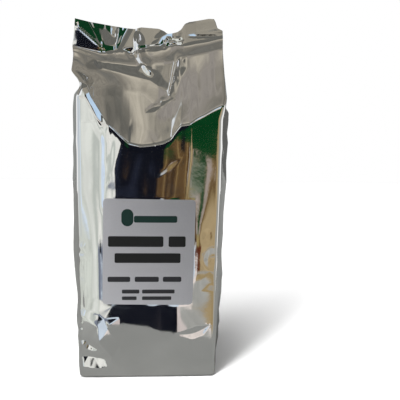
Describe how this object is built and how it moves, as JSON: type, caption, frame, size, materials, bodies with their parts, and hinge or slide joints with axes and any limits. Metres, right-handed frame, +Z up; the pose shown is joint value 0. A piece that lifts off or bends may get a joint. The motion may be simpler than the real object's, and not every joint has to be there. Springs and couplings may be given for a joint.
{
  "type": "foil gusset bag of seed",
  "caption": "Sealed standing side-gusset bag of mirror-bright foil film, filled with dry seed, with a plain rounded paper label on its front.",
  "frame": {"origin": "bottom centre of the bag's bounding box, on the surface that the folded bottom stands on", "axes": "+Z up along the bag's height, front panel with the label towards -Y, gussets towards -X and +X"},
  "size_m": [0.1142, 0.0786, 0.2683],
  "materials": {
    "mirror_foil": "mirror-bright metallised plastic film, creased, slightly warm silver",
    "label_paper": "smooth white paper sticker with plain printed bars",
    "seed": "dry brown seed, matt"
  },
  "bodies": {
    "root": {"foil_bag": "mirror_foil", "label": "label_paper", "seed_fill": "seed"}
  },
  "joints": []
}
